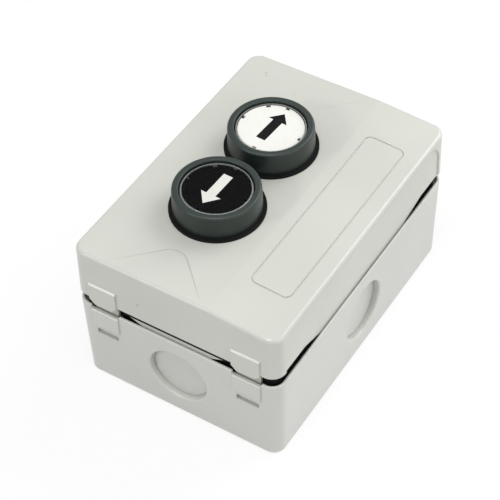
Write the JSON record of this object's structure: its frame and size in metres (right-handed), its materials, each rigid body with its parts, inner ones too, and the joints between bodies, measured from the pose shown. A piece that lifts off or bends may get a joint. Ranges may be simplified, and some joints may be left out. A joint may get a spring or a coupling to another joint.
{
  "type": "up-down push button",
  "caption": "Surface-mounted control box with an up and a down push button, a lift-off lid with a sloped label side and knockouts for cables.",
  "frame": {"origin": "centre of the flat back face that lies against the wall", "axes": "+Z out of the wall through the buttons, +Y the way the up arrow points, +X towards the label field"},
  "size_m": [0.08, 0.1172, 0.0705],
  "materials": {
    "housing_grey": "fine satin moulded surface, light grey",
    "seal_rubber": "matt black rubber",
    "bezel_black": "satin dark grey plastic",
    "nut_black": "matt black plastic",
    "cap_grey": "matt grey plastic",
    "legend_white": "white sheet",
    "legend_black": "black sheet",
    "lens_clear": "clear polished plastic",
    "carrier_grey": "matt dark grey plastic",
    "block_ivory": "matt ivory plastic",
    "plunger_white": "matt white plastic",
    "contact_brass": "bright brass with silvered tips",
    "screw_steel": "zinc-plated steel",
    "spring_steel": "bright spring steel"
  },
  "bodies": {
    "base": {"base_housing": "housing_grey", "lid_gasket": "seal_rubber"},
    "lid": {"lid_cover": "housing_grey", "terminal_clamps": "screw_steel", "terminal_screws": "screw_steel", "up_bezel": "bezel_black", "up_bezel_seal": "seal_rubber", "up_fixing_nut": "nut_black", "up_contact_carrier": "carrier_grey", "up_contact_block": "block_ivory", "up_block_cover": "block_ivory", "up_fixed_contacts": "contact_brass", "up_return_spring": "spring_steel", "up_contact_spring": "spring_steel", "down_bezel": "bezel_black", "down_bezel_seal": "seal_rubber", "down_fixing_nut": "nut_black", "down_contact_carrier": "carrier_grey", "down_contact_block": "block_ivory", "down_block_cover": "block_ivory", "down_fixed_contacts": "contact_brass", "down_return_spring": "spring_steel", "down_contact_spring": "spring_steel"},
    "up_button": {"up_button_cap": "cap_grey", "up_legend_insert": "legend_white", "up_lens": "lens_clear", "up_contact_plunger": "plunger_white", "up_contact_bridge": "contact_brass"},
    "down_button": {"down_button_cap": "cap_grey", "down_legend_insert": "legend_black", "down_lens": "lens_clear", "down_contact_plunger": "plunger_white", "down_contact_bridge": "contact_brass"}
  },
  "joints": [
    {"name": "lid_lift", "type": "slide", "parent": "base", "child": "lid", "axis": [0, 0, 1], "range_m": [0, 0.06]},
    {"name": "up_button_press", "type": "slide", "parent": "lid", "child": "up_button", "axis": [0, 0, -1], "range_m": [0, 0.0043], "stiffness_N_per_m": 400, "springref_m": -0.004, "deforming": ["up_return_spring", "up_contact_spring"]},
    {"name": "down_button_press", "type": "slide", "parent": "lid", "child": "down_button", "axis": [0, 0, -1], "range_m": [0, 0.0043], "stiffness_N_per_m": 400, "springref_m": -0.004, "deforming": ["down_return_spring", "down_contact_spring"]}
  ]
}
